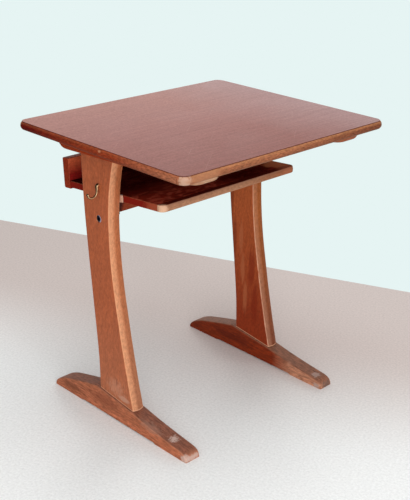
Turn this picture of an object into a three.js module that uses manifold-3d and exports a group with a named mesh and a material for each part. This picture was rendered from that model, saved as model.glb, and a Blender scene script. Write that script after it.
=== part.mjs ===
import * as THREE from "three";
import { mergeVertices } from "three/addons/utils/BufferGeometryUtils.js";
import Module from "manifold-3d";

// A pupil's desk in stained beech: a worktop on two trestles, with a book shelf between them.
// Lengths are in millimetres. X runs across the desk, the pupil sits on the -Y side,
// Y is counted from the middle of the worktop, and Z rises from the floor.

const deskHeight = 710;
const topWidth = 651;
const topDepth = 547;

// Fits and facets
const seatGap = 0.3;
const cutOverrun = 6;
const curveSegments = 6;
const arrisSegments = 3;
const edgeSteps = 6;
const turnedSegments = 12;
const legRings = 22;
const weldTolerance = 0.0001;

// Worktop: a board with swelling edges of solid wood, under a thin surface sheet
const boardThickness = 18;
const surfaceThickness = 1.3;
const surfaceArris = 0.5;
const topCornerRadius = 18;
const topSwell = 4.5;
const endLippingDepth = 12;
const sideLippingWidth = 12;

// Legs: swept posts, hollow in front, with a slightly crowned front face
const legInset = 84.5;
const legThickness = 34;
const legArris = 4;
const legCrown = 2.6;
const legHeelY = 82;
const legToeY = -41;
const legRearLean = 54.5;
const legFrontHollow = 80.5;
const tenonThickness = 12;
const tenonShoulder = 18;
const footTenonLength = 28;
const bearerTenonLength = 24;
const tenonRoot = 14;

// Each row is a share of the leg's height, then a share of the lean or the hollow
const legRearShares = [[0, 0], [0.13, 0.06], [0.26, 0.206], [0.58, 0.63], [0.79, 0.86], [1, 1]];
const legFrontShares = [
  [0, 0], [0.108, 0.217], [0.326, 0.588], [0.544, 0.884], [0.747, 1], [0.845, 0.969], [0.943, 0.871], [1, 0.764],
];

// Feet: long tapered runners with a sloping seat for the leg and a relieved underside
const footThickness = 44.5;
const footFrontReach = 230;
const footRearReach = 261;
const footSeatHeight = 64.3;
const footSeatFall = 16.8;
const footSeatFrontMargin = 2.5;
const footSeatRearMargin = 10;
const footToeLength = 24;
const footToeHeight = 22;
const footHeelLength = 49;
const footHeelHeight = 35.5;
const footArris = 4.5;
const footToeRiseShare = 0.84;
const footInstepShares = [0.62, 0.46];
const footBackShares = [0.48, 0.42];
const footHeelRiseShare = 0.53;
const footReliefRise = 3;
const footReliefRamp = 9;
const footFrontPad = 104;
const footRearPad = 111;

// Bearers: flat battens under the worktop, thinner to the front, with rounded ends
const bearerWidth = 71;
const bearerOuterStep = 9;
const bearerFrontInset = 17.5;
const bearerRearInset = 58.5;
const bearerFrontThickness = 20.6;
const bearerRearThickness = 41.2;
const bearerNoseRound = 17;
const bearerTailRound = 34;
const bearerNoseCorner = 21;
const bearerTailCorner = 6;
const bearerArris = 2;

// Book shelf: tilted down to the rear, with an upright panel behind it
const shelfSideGap = 3.5;
const shelfFrontY = -97.5;
const shelfHeadroom = 113.2;
const shelfTilt = THREE.MathUtils.degToRad(4.5);
const shelfLength = 327;
const shelfThickness = 16.5;
const shelfSwell = 4.2;
const shelfCornerRadius = 12;
const shelfArris = 1.5;
const shelfLippingDepth = 15;
const backPanelThickness = 22;
const backPanelRise = 55;
const backPanelDrop = 3.5;
const backPanelRound = 4;
const backPanelHeelRound = 5;
const backPanelArris = 1.5;
const spacerStart = 130;
const spacerLength = 87;

// Cross rail and the corner blocks that tie it to the legs
const railFrontY = 100;
const railThickness = 22;
const railDepth = 48.4;
const railArris = 1.5;
const blockDepth = 36.5;
const blockThickness = 12;

// Bolts through the legs
const boltAheadOfRail = 25.5;
const boltAboveRailFoot = 11;
const boltRadius = 4;
const boltHeadRadius = 9;
const boltHeadHeight = 3;
const boltHeadDome = 1;
const boltRecess = 4;
const boltChamfer = 1;
const boltTail = 3;
const washerRadius = 9;
const washerThickness = 1.6;
const nutAcrossCorners = 15;
const nutThickness = 6.5;

// Countersunk wood screws
const screwRadius = 2.2;
const screwHeadRadius = 4.4;
const screwHeadHeight = 2.8;
const screwHeadRim = 0.5;
const screwPointLength = 4;
const screwSink = 1;
const topScrewBite = 12;
const topScrewInset = 13;
const railScrewBite = 22;
const panelScrewBite = 24;
const blockScrewBite = 20;
const blockScrewRise = 12;
const topScrewShares = [-0.72, -0.26, 0.24, 0.72];
const railScrewShares = [-0.86, 0, 0.86];
const panelScrewShares = [-0.84, -0.28, 0.28, 0.84];
const blockScrewShares = [0, 1];

// Bag hook: brass wire screwed into the left leg
const hookWireRadius = 2.5;
const hookY = 74;
const hookDrop = 120.2;
const hookShankDepth = 16;
const hookStandOff = 4;
const hookShankLength = 14.5;
const hookRadius = 13.4;
const hookBowSweep = THREE.MathUtils.degToRad(168);
const hookBallRadius = 3;
const hookSides = 8;
const hookSteps = 36;
const hookBowPoints = 8;

const finishes = {
  surface: { color: "#a97a72", roughness: 0.55, metalness: 0 },
  lipping: { color: "#c08a60", roughness: 0.5, metalness: 0 },
  beech: { color: "#a0583a", roughness: 0.45, metalness: 0 },
  shelf: { color: "#6e3426", roughness: 0.4, metalness: 0 },
  steel: { color: "#8d9298", roughness: 0.4, metalness: 1 },
  brass: { color: "#c8a45a", roughness: 0.3, metalness: 1 },
};

const boardUnderside = deskHeight - surfaceThickness - boardThickness;
const legSpread = topWidth / 2 - legInset;
const legOuter = legSpread + legThickness / 2;
const legInner = legSpread - legThickness / 2;
const bearerInner = legOuter + bearerOuterStep - bearerWidth;
const bearerFrontReach = topDepth / 2 - bearerFrontInset;
const bearerRearReach = topDepth / 2 - bearerRearInset;
const hookHeight = deskHeight - hookDrop;
const shelfHalfWidth = legInner - shelfSideGap;
const shelfFrontHeight = boardUnderside - shelfHeadroom;
const axisX = new THREE.Vector3(1, 0, 0);
const axisY = new THREE.Vector3(0, 1, 0);
const axisZ = new THREE.Vector3(0, 0, 1);
const sides = [["left", -1], ["right", 1]];

const wasm = await Module();
wasm.setup();

function weld(geometry) {
  const bare = geometry.clone();
  bare.deleteAttribute("normal");
  bare.deleteAttribute("uv");
  const welded = mergeVertices(bare, weldTolerance);
  const kept = [];
  for (let i = 0; i < welded.index.count; i += 3) {
    const [a, b, c] = [welded.index.getX(i), welded.index.getX(i + 1), welded.index.getX(i + 2)];
    if (a !== b && b !== c && c !== a) kept.push(a, b, c);
  }
  welded.setIndex(kept);
  return welded;
}

function toSolid(geometry) {
  const welded = weld(geometry);
  const vertProperties = new Float32Array(welded.attributes.position.array);
  const triVerts = new Uint32Array(welded.index.array);
  return new wasm.Manifold(new wasm.Mesh({ numProp: 3, vertProperties, triVerts }));
}

function toGeometry(solid) {
  const { vertProperties, triVerts } = solid.getMesh();
  const geometry = new THREE.BufferGeometry();
  geometry.setAttribute("position", new THREE.BufferAttribute(vertProperties, 3));
  geometry.setIndex(new THREE.BufferAttribute(triVerts, 1));
  geometry.computeVertexNormals();
  return geometry;
}

function piece(name, solid, finish) {
  const mesh = new THREE.Mesh(toGeometry(solid), new THREE.MeshStandardMaterial(finishes[finish]));
  mesh.name = name;
  return mesh;
}

function cut(solid, ...cutters) {
  return cutters.reduce((rest, cutter) => rest.subtract(cutter), solid);
}

// A box between two opposite corners
function block(low, high) {
  const box = new THREE.Box3(new THREE.Vector3(...low), new THREE.Vector3(...high));
  const size = box.getSize(new THREE.Vector3());
  const geometry = new THREE.BoxGeometry(size.x, size.y, size.z);
  return toSolid(geometry.translate(...box.getCenter(new THREE.Vector3())));
}

// An outline in plan, raised from one level by a thickness, with rounded long edges
function raised(outline, level, thickness, arris) {
  const geometry = new THREE.ExtrudeGeometry(outline, {
    depth: thickness - 2 * arris,
    curveSegments,
    bevelEnabled: arris > 0,
    bevelThickness: arris,
    bevelSize: arris,
    bevelOffset: -arris,
    bevelSegments: arrisSegments,
  });
  return geometry.translate(0, 0, level + arris);
}

// An outline in the side view (Y, Z), made as wide as the piece and centred on its middle
function sideways(outline, middleX, width, arris) {
  const geometry = raised(outline, -width / 2, width, arris);
  geometry.applyMatrix4(new THREE.Matrix4().makeBasis(axisY, axisZ, axisX));
  return toSolid(geometry.translate(middleX, 0, 0));
}

function polygon(points) {
  return new THREE.Shape(points.map(([x, y]) => new THREE.Vector2(x, y)));
}

// A closed body through rings of points that all run anticlockwise seen from above
function loft(rings) {
  const count = rings[0].length;
  const index = [];
  for (let k = 0; k < rings.length - 1; k += 1) {
    for (let i = 0; i < count; i += 1) {
      const next = (i + 1) % count;
      const [a, b, c, d] = [k * count + i, k * count + next, (k + 1) * count + next, (k + 1) * count + i];
      index.push(a, b, c, a, c, d);
    }
  }
  const last = (rings.length - 1) * count;
  const flat = (ring) => ring.map((point) => new THREE.Vector2(point.x, point.y));
  for (const [a, b, c] of THREE.ShapeUtils.triangulateShape(flat(rings[0]), [])) index.push(c, b, a);
  for (const [a, b, c] of THREE.ShapeUtils.triangulateShape(flat(rings[rings.length - 1]), [])) {
    index.push(last + a, last + b, last + c);
  }
  const geometry = new THREE.BufferGeometry().setFromPoints(rings.flat());
  geometry.setIndex(index);
  return toSolid(geometry);
}

// The outline of a plate seen from above, with rounded corners, anticlockwise
function plateRing(halfWidth, front, rear, frontRadius, rearRadius) {
  const corners = [
    [halfWidth - frontRadius, front + frontRadius, frontRadius],
    [halfWidth - rearRadius, rear - rearRadius, rearRadius],
    [rearRadius - halfWidth, rear - rearRadius, rearRadius],
    [frontRadius - halfWidth, front + frontRadius, frontRadius],
  ];
  return corners.flatMap(([x, y, radius], i) => {
    const steps = radius > 0 ? curveSegments : 0;
    return Array.from({ length: steps + 1 }, (_, k) => {
      const angle = (i - 1 + (steps > 0 ? k / steps : 0)) * (Math.PI / 2);
      return new THREE.Vector2(x + radius * Math.cos(angle), y + radius * Math.sin(angle));
    });
  });
}

// Heights through a thickness, closer together near its two faces
function levels(thickness) {
  return Array.from({ length: edgeSteps + 1 }, (_, k) => (
    (thickness / 2) * (1 - Math.cos((k / edgeSteps) * Math.PI))
  ));
}

// How far a swelling edge stands out, at a height in its thickness
function swellAt(swell, thickness, height) {
  const radius = (thickness ** 2 / 4 + swell ** 2) / (2 * swell);
  return Math.sqrt(radius ** 2 - (height - thickness / 2) ** 2) - (radius - swell);
}

// How far a rounded edge stands back, at a height above the face that it meets
function standBack(radius, height) {
  const rest = radius - Math.min(height, radius);
  return radius - Math.sqrt(radius ** 2 - rest ** 2);
}

function turned(profile) {
  return new THREE.LatheGeometry(profile.map(([x, y]) => new THREE.Vector2(x, y)), turnedSegments);
}

// The matrix that stands a turned piece's head at a point, facing outward
function facing(head, outward) {
  const turn = new THREE.Quaternion().setFromUnitVectors(axisY, outward);
  return new THREE.Matrix4().compose(head, turn, new THREE.Vector3(1, 1, 1));
}

function rod(radius, start, end) {
  const span = new THREE.Vector3().subVectors(start, end);
  const length = span.length();
  const geometry = turned([[0, -length], [radius, -length], [radius, 0], [0, 0]]);
  return toSolid(geometry.applyMatrix4(facing(start, span.normalize())));
}

// Worktop

function worktop() {
  const halfWidth = topWidth / 2;
  const halfDepth = topDepth / 2;
  const boardTop = boardUnderside + boardThickness;
  const outline = (out) => {
    const radius = topCornerRadius + out;
    return plateRing(halfWidth + out, -halfDepth - out, halfDepth + out, radius, radius);
  };
  const blank = loft(levels(boardThickness).map((height) => (
    outline(swellAt(topSwell, boardThickness, height))
      .map(({ x, y }) => new THREE.Vector3(x, y, boardUnderside + height))
  )));
  const coreX = halfWidth - sideLippingWidth;
  const coreY = halfDepth - endLippingDepth;
  const [endX, endY] = [halfWidth + cutOverrun, halfDepth + cutOverrun];
  const zone = (x0, x1, y0, y1) => blank.intersect(block([x0, y0, boardUnderside], [x1, y1, boardTop]));
  return {
    top_core: zone(-coreX, coreX, -coreY, coreY),
    top_lipping_front: zone(-endX, endX, -endY, -coreY),
    top_lipping_rear: zone(-endX, endX, coreY, endY),
    top_lipping_left: zone(-endX, -coreX, -coreY, coreY),
    top_lipping_right: zone(coreX, endX, -coreY, coreY),
    top_surface: toSolid(raised(new THREE.Shape(outline(0)), boardTop, surfaceThickness, surfaceArris)),
  };
}

// Bearers

function bearerUnderside(y) {
  const thickness = THREE.MathUtils.mapLinear(
    y, -bearerFrontReach, bearerRearReach, bearerFrontThickness, bearerRearThickness,
  );
  return boardUnderside - thickness;
}

function bearer(side) {
  const middle = side * (bearerInner + bearerWidth / 2);
  const rings = [];
  for (let k = 0; k <= edgeSteps; k += 1) {
    const share = 1 - Math.cos((k / edgeSteps) * (Math.PI / 2));
    const [noseRise, tailRise] = [bearerNoseRound * share, bearerTailRound * share];
    const rise = (y) => THREE.MathUtils.mapLinear(y, -bearerFrontReach, bearerRearReach, noseRise, tailRise);
    const outline = plateRing(
      bearerWidth / 2 - standBack(bearerArris, noseRise),
      -bearerFrontReach + standBack(bearerNoseRound, noseRise),
      bearerRearReach - standBack(bearerTailRound, tailRise),
      bearerNoseCorner,
      bearerTailCorner,
    );
    rings.push(outline.map(({ x, y }) => new THREE.Vector3(middle + x, y, bearerUnderside(y) + rise(y))));
  }
  rings.push(rings[edgeSteps].map(({ x, y }) => new THREE.Vector3(x, y, boardUnderside)));
  return cut(loft(rings), bearerTenon(side, seatGap));
}

// Feet

const legDepthAtFoot = legHeelY - legToeY;

function footSeatAt(y) {
  return footSeatHeight - footSeatFall * ((legHeelY - y) / legDepthAtFoot);
}

function foot(side) {
  const toeY = -footFrontReach + footToeLength;
  const heelY = footRearReach - footHeelLength;
  const seatFront = legToeY - footSeatFrontMargin;
  const seatRear = legHeelY + footSeatRearMargin;
  const between = (start, end, share) => THREE.MathUtils.lerp(start, end, share);
  const outline = new THREE.Shape();
  outline.moveTo(-footFrontReach, -cutOverrun);
  outline.lineTo(footRearReach, -cutOverrun);
  outline.lineTo(footRearReach, 0);
  outline.quadraticCurveTo(footRearReach, footHeelHeight * footHeelRiseShare, heelY, footHeelHeight);
  outline.quadraticCurveTo(
    between(seatRear, heelY, footBackShares[0]),
    between(footSeatAt(seatRear), footHeelHeight, footBackShares[1]),
    seatRear,
    footSeatAt(seatRear),
  );
  outline.lineTo(seatFront, footSeatAt(seatFront));
  outline.quadraticCurveTo(
    between(toeY, seatFront, footInstepShares[0]),
    between(footToeHeight, footSeatAt(seatFront), footInstepShares[1]),
    toeY,
    footToeHeight,
  );
  outline.quadraticCurveTo(-footFrontReach, footToeHeight * footToeRiseShare, -footFrontReach, 0);
  const blank = sideways(outline, side * legSpread, footThickness, footArris);
  const reach = legSpread + footThickness;
  const floor = block(
    [-reach, -footFrontReach - cutOverrun, -2 * cutOverrun],
    [reach, footRearReach + cutOverrun, 0],
  );
  const reliefFront = -footFrontReach + footFrontPad;
  const reliefRear = footRearReach - footRearPad;
  const relief = polygon([
    [reliefFront, -cutOverrun], [reliefRear, -cutOverrun], [reliefRear, 0],
    [reliefRear - footReliefRamp, footReliefRise], [reliefFront + footReliefRamp, footReliefRise], [reliefFront, 0],
  ]);
  const arch = sideways(relief, side * legSpread, footThickness + 2 * cutOverrun, 0);
  return cut(blank, floor, arch, footTenon(side, seatGap));
}

// Legs

function edgeLine(table, start, travel) {
  const heights = table.map(([height]) => height);
  const places = table.map(([, share]) => start + share * travel);
  const line = new THREE.CubicInterpolant(heights, places, 1);
  return (height) => line.evaluate(height)[0];
}

const legRear = edgeLine(legRearShares, legHeelY, legRearLean);
const legFront = edgeLine(legFrontShares, legToeY, legFrontHollow);

function legSection(front, rear) {
  const half = legThickness / 2;
  const section = new THREE.Shape();
  section.moveTo(-half, front + legArris);
  section.quadraticCurveTo(-half, front, -half + legArris, front);
  section.quadraticCurveTo(0, front - 2 * legCrown, half - legArris, front);
  section.quadraticCurveTo(half, front, half, front + legArris);
  section.lineTo(half, rear - legArris);
  section.quadraticCurveTo(half, rear, half - legArris, rear);
  section.lineTo(-half + legArris, rear);
  section.quadraticCurveTo(-half, rear, -half, rear - legArris);
  return section.getPoints(arrisSegments + 1);
}

// A leg's tenons, and with a gap their mortises, for the foot and for the bearer
function footTenon(side, gap) {
  const [front, rear] = [legToeY + tenonShoulder, legHeelY - tenonShoulder];
  const half = tenonThickness / 2 + gap;
  return block(
    [side * legSpread - half, front - gap, footSeatAt(front) - footTenonLength - gap],
    [side * legSpread + half, rear + gap, footSeatAt(rear) + tenonRoot],
  );
}

function bearerTenon(side, gap) {
  const [front, rear] = [legFront(1) + tenonShoulder, legRear(1) - tenonShoulder];
  const half = tenonThickness / 2 + gap;
  return block(
    [side * legSpread - half, front - gap, bearerUnderside(rear) - tenonRoot],
    [side * legSpread + half, rear + gap, bearerUnderside(rear) + bearerTenonLength + gap],
  );
}

function leg(side, cutters) {
  const rings = [];
  for (let k = 0; k < legRings; k += 1) {
    const height = k / (legRings - 1);
    rings.push(legSection(legFront(height), legRear(height)).map(({ x, y }) => {
      const z = THREE.MathUtils.lerp(footSeatAt(y) + seatGap, bearerUnderside(y) - seatGap, height);
      return new THREE.Vector3(side * legSpread + x, y, z);
    }));
  }
  return cut(loft(rings).add(footTenon(side, 0)).add(bearerTenon(side, 0)), ...cutters);
}

// Shelf pieces, in the shelf's own tilted frame: Y runs back along its top face

const shelfFrame = new THREE.Group();
shelfFrame.position.set(0, shelfFrontY, shelfFrontHeight);
shelfFrame.rotation.x = -shelfTilt;
shelfFrame.updateMatrixWorld();

function shelfUnderside(y) {
  return shelfFrontHeight - (y - shelfFrontY) * Math.tan(shelfTilt) - shelfThickness / Math.cos(shelfTilt);
}

function shelfBoard() {
  const blank = loft(levels(shelfThickness).map((height) => {
    const out = swellAt(shelfSwell, shelfThickness, height);
    const halfWidth = shelfHalfWidth - standBack(shelfArris, Math.min(height, shelfThickness - height));
    return plateRing(halfWidth, -out, shelfLength, shelfCornerRadius + out, 0)
      .map(({ x, y }) => new THREE.Vector3(x, y, height - shelfThickness));
  }));
  const parting = shelfLippingDepth;
  const zone = (y0, y1) => blank.intersect(
    block([-shelfHalfWidth, y0, -shelfThickness], [shelfHalfWidth, y1, 0]),
  );
  return {
    board: zone(parting + seatGap, shelfLength),
    lipping: zone(-shelfSwell - cutOverrun, parting),
  };
}

function backPanel() {
  const front = shelfLength + seatGap;
  const rear = front + backPanelThickness;
  const [foot, head] = [-shelfThickness - backPanelDrop, backPanelRise];
  const outline = new THREE.Shape();
  outline.moveTo(front, foot);
  outline.lineTo(rear - backPanelHeelRound, foot);
  outline.quadraticCurveTo(rear, foot, rear, foot + backPanelHeelRound);
  outline.lineTo(rear, head - backPanelRound);
  outline.quadraticCurveTo(rear, head, rear - backPanelRound, head);
  outline.lineTo(front + backPanelRound, head);
  outline.quadraticCurveTo(front, head, front, head - backPanelRound);
  return sideways(outline, 0, 2 * shelfHalfWidth, backPanelArris);
}

function spacer(side) {
  const [inner, outer] = [shelfHalfWidth + seatGap, legInner - seatGap];
  const xs = [side * inner, side * outer].sort((a, b) => a - b);
  return block([xs[0], spacerStart, -shelfThickness], [xs[1], spacerStart + spacerLength, 0]);
}

// Cross rail and corner blocks, their top edges planed to the shelf's slope

function underShelf(front, rear, bottom) {
  const top = (y) => shelfUnderside(y) - seatGap;
  return polygon([[front, bottom], [rear, bottom], [rear, top(rear)], [front, top(front)]]);
}

const railRearY = railFrontY + railThickness;
const railBottom = shelfUnderside(railFrontY) - railDepth;
const blockMiddle = legInner - seatGap - blockThickness / 2;
const blockInner = legInner - seatGap - blockThickness;

function rail() {
  return sideways(underShelf(railFrontY, railRearY, railBottom), 0, 2 * (legInner - seatGap), railArris);
}

function cornerBlock(side) {
  const rear = railFrontY - seatGap;
  return sideways(underShelf(rear - blockDepth, rear, railBottom), side * blockMiddle, blockThickness, railArris);
}

// Bolts, with their washers and nuts

const boltY = railFrontY - boltAheadOfRail;
const boltZ = railBottom + boltAboveRailFoot;
const boltSeatX = legOuter - boltRecess;
const washerX = blockInner - seatGap - washerThickness;
const nutX = washerX - seatGap - nutThickness;

function bolt() {
  const headTop = seatGap + boltHeadHeight;
  const tail = -(boltSeatX - nutX + boltTail);
  return turned([
    [0, tail], [boltRadius - boltChamfer, tail], [boltRadius, tail + boltChamfer], [boltRadius, seatGap],
    [boltHeadRadius, seatGap], [boltHeadRadius, headTop - boltHeadDome],
    [boltHeadRadius - boltHeadDome, headTop], [0, headTop],
  ]);
}

function ring(radius, thickness, corners) {
  const outline = new THREE.Shape();
  for (let i = 0; i < corners; i += 1) {
    const angle = (i / corners) * 2 * Math.PI;
    const point = [radius * Math.cos(angle), radius * Math.sin(angle)];
    if (i === 0) outline.moveTo(...point);
    else outline.lineTo(...point);
  }
  const hole = new THREE.Path();
  hole.absarc(0, 0, boltRadius + seatGap, 0, 2 * Math.PI);
  outline.holes.push(hole);
  return toSolid(raised(outline, 0, thickness, 0));
}

function boltPieces(label, side) {
  const outward = new THREE.Vector3(side, 0, 0);
  const at = (x) => new THREE.Vector3(side * x, boltY, boltZ);
  const screw = piece(`rail_bolt_${label}`, toSolid(bolt()), "steel");
  screw.position.copy(at(boltSeatX));
  screw.quaternion.setFromUnitVectors(axisY, outward);
  const washer = piece(`bolt_washer_${label}`, ring(washerRadius, washerThickness, 2 * turnedSegments), "steel");
  washer.position.copy(at(washerX));
  washer.quaternion.setFromUnitVectors(axisZ, outward);
  const nut = piece(`bolt_nut_${label}`, ring(nutAcrossCorners / 2, nutThickness, 6), "steel");
  nut.position.copy(at(nutX));
  nut.quaternion.setFromUnitVectors(axisZ, outward);
  return [screw, washer, nut];
}

function boltCutters(side) {
  const at = (x) => new THREE.Vector3(side * x, boltY, boltZ);
  return [
    rod(boltHeadRadius + seatGap, at(legOuter + cutOverrun), at(boltSeatX)),
    rod(boltRadius + seatGap, at(legOuter), at(blockInner - cutOverrun)),
  ];
}

// Screws: one profile for the solid and a wider one for its countersunk hole

function screwProfile(length, gap, reach) {
  const radius = screwRadius + gap;
  const point = gap > 0 ? radius : screwRadius / 2;
  return turned([
    [0, -length - gap], [point, -length - gap], [radius, -length + screwPointLength],
    [radius, -screwHeadHeight - gap], [screwHeadRadius + gap, -screwHeadRim - gap],
    [screwHeadRadius + gap, reach], [0, reach],
  ]);
}

class Screw {
  constructor(name, length, head, outward, frame = new THREE.Matrix4()) {
    this.mesh = piece(name, toSolid(screwProfile(length, 0, 0)), "steel");
    this.mesh.applyMatrix4(facing(head, outward));
    this.length = length;
    this.seat = facing(head, outward);
    this.frame = frame;
  }

  // The hole in the screw's own frame, or carried into the desk's frame
  hole(inDeskFrame = false) {
    const cutter = screwProfile(this.length, seatGap, screwSink + cutOverrun).applyMatrix4(this.seat);
    return toSolid(inDeskFrame ? cutter.applyMatrix4(this.frame) : cutter);
  }
}

function topScrews(label, side) {
  const down = new THREE.Vector3(0, 0, -1);
  const span = (bearerFrontReach + bearerRearReach) / 2;
  const middle = (bearerRearReach - bearerFrontReach) / 2;
  return topScrewShares.map((share, i) => {
    const y = middle + share * span;
    const start = bearerUnderside(y) + screwSink;
    const head = new THREE.Vector3(side * (bearerInner + topScrewInset), y, start);
    return new Screw(`top_screw_${label}_${i + 1}`, boardUnderside + topScrewBite - start, head, down);
  });
}

function railScrews() {
  const railMiddle = ((railFrontY + railRearY) / 2 - shelfFrontY) / Math.cos(shelfTilt);
  return railScrewShares.map((share, i) => {
    const head = new THREE.Vector3(share * shelfHalfWidth, railMiddle, -screwSink);
    const length = shelfThickness - screwSink + railScrewBite;
    return new Screw(`shelf_screw_${i + 1}`, length, head, axisZ, shelfFrame.matrix);
  });
}

function panelScrews() {
  const rear = shelfLength + seatGap + backPanelThickness;
  return panelScrewShares.map((share, i) => {
    const head = new THREE.Vector3(share * shelfHalfWidth, rear - screwSink, -shelfThickness / 2);
    const length = backPanelThickness - screwSink + panelScrewBite;
    return new Screw(`back_panel_screw_${i + 1}`, length, head, axisY, shelfFrame.matrix);
  });
}

function blockScrews(label, side) {
  const low = railBottom + blockScrewRise / 2;
  const high = shelfUnderside(railRearY) - blockScrewRise;
  return blockScrewShares.map((share, i) => {
    const z = THREE.MathUtils.lerp(low, high, share);
    const head = new THREE.Vector3(side * blockMiddle, railRearY - screwSink, z);
    return new Screw(`rail_screw_${label}_${i + 1}`, railThickness - screwSink + blockScrewBite, head, axisY);
  });
}

// Bag hook: out of the leg, down, and round to a ball at its tip

function hookRoute() {
  const at = (out, z) => new THREE.Vector3(-legOuter - out, hookY, z);
  const bowMiddle = hookStandOff + hookRadius;
  const bowHeight = hookHeight - hookShankLength;
  const points = [at(-hookShankDepth, hookHeight), at(-hookStandOff, hookHeight), at(0, hookHeight)];
  const bend = hookStandOff;
  points.push(at(bend * Math.SQRT1_2, hookHeight - bend * (1 - Math.SQRT1_2)), at(bend, hookHeight - bend));
  for (let i = 0; i <= hookBowPoints; i += 1) {
    const angle = (i / hookBowPoints) * hookBowSweep;
    points.push(at(bowMiddle - hookRadius * Math.cos(angle), bowHeight - hookRadius * Math.sin(angle)));
  }
  return new THREE.CatmullRomCurve3(points, false, "centripetal");
}

function bagHook() {
  const section = new THREE.Shape();
  for (let i = 0; i < hookSides; i += 1) {
    const angle = (i / hookSides) * 2 * Math.PI;
    const point = [hookWireRadius * Math.cos(angle), hookWireRadius * Math.sin(angle)];
    if (i === 0) section.moveTo(...point);
    else section.lineTo(...point);
  }
  const route = hookRoute();
  const wire = toSolid(new THREE.ExtrudeGeometry(section, {
    steps: hookSteps, extrudePath: route, bevelEnabled: false,
  }));
  const tip = route.getPoint(1);
  const ball = new THREE.SphereGeometry(hookBallRadius, turnedSegments, turnedSegments / 2);
  return wire.add(toSolid(ball.translate(tip.x, tip.y, tip.z)));
}

function hookCutter() {
  const at = (x) => new THREE.Vector3(-x, hookY, hookHeight);
  return rod(hookWireRadius + seatGap, at(legOuter + cutOverrun), at(legOuter - hookShankDepth - seatGap));
}

// The desk

const desk = new THREE.Group();
desk.add(shelfFrame);

const tops = worktop();
const shelf = shelfBoard();
const shelfScrews = railScrews();
const backScrews = panelScrews();
const holes = (screws, inDeskFrame) => screws.map((screw) => screw.hole(inDeskFrame));
const meshes = (screws) => screws.map((screw) => screw.mesh);
let railSolid = cut(rail(), ...holes(shelfScrews, true));

for (const [label, side] of sides) {
  const upper = topScrews(label, side);
  const across = blockScrews(label, side);
  const bolted = boltCutters(side);
  const legCutters = side < 0 ? [...bolted, hookCutter()] : bolted;
  tops.top_core = cut(tops.top_core, ...holes(upper));
  railSolid = cut(railSolid, ...holes(across));
  desk.add(
    piece(`bearer_${label}`, cut(bearer(side), ...holes(upper)), "beech"),
    piece(`leg_${label}`, leg(side, legCutters), "beech"),
    piece(`foot_${label}`, foot(side), "beech"),
    piece(`corner_block_${label}`, cut(cornerBlock(side), ...bolted, ...holes(across)), "beech"),
    ...boltPieces(label, side),
    ...meshes(upper),
    ...meshes(across),
  );
  shelfFrame.add(piece(`shelf_spacer_${label}`, spacer(side), "lipping"));
}

for (const [name, solid] of Object.entries(tops)) {
  const finish = { top_surface: "surface", top_core: "beech" }[name] ?? "lipping";
  desk.add(piece(name, solid, finish));
}
desk.add(piece("shelf_rail", railSolid, "beech"), piece("bag_hook", bagHook(), "brass"));
shelfFrame.add(
  piece("shelf_board", cut(shelf.board, ...holes(shelfScrews), ...holes(backScrews)), "shelf"),
  piece("shelf_lipping", shelf.lipping, "lipping"),
  piece("shelf_back_panel", cut(backPanel(), ...holes(backScrews)), "beech"),
  ...meshes(shelfScrews),
  ...meshes(backScrews),
);

export default desk;
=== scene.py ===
import bpy
import math
from mathutils import Matrix, Quaternion, Vector


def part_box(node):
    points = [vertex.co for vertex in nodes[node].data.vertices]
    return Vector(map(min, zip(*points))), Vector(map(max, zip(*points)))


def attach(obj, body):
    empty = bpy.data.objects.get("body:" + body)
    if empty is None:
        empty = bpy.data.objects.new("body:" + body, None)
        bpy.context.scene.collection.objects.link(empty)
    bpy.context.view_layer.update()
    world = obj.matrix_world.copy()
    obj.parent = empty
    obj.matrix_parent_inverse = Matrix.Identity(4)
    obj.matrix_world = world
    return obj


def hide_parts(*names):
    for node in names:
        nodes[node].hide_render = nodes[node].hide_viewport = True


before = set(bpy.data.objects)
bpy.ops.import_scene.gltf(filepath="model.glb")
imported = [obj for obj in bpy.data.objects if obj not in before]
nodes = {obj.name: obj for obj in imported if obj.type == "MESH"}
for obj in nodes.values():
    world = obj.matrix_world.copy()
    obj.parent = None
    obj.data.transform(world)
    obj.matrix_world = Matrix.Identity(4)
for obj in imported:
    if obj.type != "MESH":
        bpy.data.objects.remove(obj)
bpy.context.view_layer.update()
mm = 0.001
print("frame loaded:", len(nodes), "solids")


def clearSelection():
    if bpy.context.object and bpy.context.object.mode != "OBJECT":
        bpy.ops.object.mode_set(mode="OBJECT")
    bpy.ops.object.select_all(action="DESELECT")


def makeActive(piece):
    clearSelection()
    piece.select_set(True)
    bpy.context.view_layer.objects.active = piece


def selectFaces(piece, wanted):
    # leaves edit mode, marks the faces for which wanted(face) is true, and goes back
    bpy.ops.object.mode_set(mode="OBJECT")
    for face in piece.data.polygons:
        face.select = wanted(face)
    for edge in piece.data.edges:
        edge.select = False
    for vertex in piece.data.vertices:
        vertex.select = False
    bpy.ops.object.mode_set(mode="EDIT")
    bpy.ops.mesh.select_mode(type="FACE")


def applyModifier(piece, kind, **settings):
    makeActive(piece)
    modifier = piece.modifiers.new(kind.lower(), kind)
    for key, value in settings.items():
        setattr(modifier, key, value)
    bpy.ops.object.modifier_apply(modifier=modifier.name)


def ownCopy(mesh, name):
    # a new object with a mesh of its own
    piece = bpy.data.objects.new(name, mesh.copy())
    bpy.context.scene.collection.objects.link(piece)
    makeActive(piece)
    return piece


def smoothEdges(angle):
    bpy.ops.object.shade_smooth_by_angle(angle=math.radians(angle))


def standing(point, outward):
    # turns a piece modelled round +Z to a place and direction on the desk
    return Matrix.Translation(point) @ outward.to_track_quat("Z", "Y").to_matrix().to_4x4()


def finishPiece(piece, slotName, material, *replaced):
    piece.data.materials.clear()
    piece.data.materials.append(material)
    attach(piece, "root")
    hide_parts(*replaced)


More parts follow.
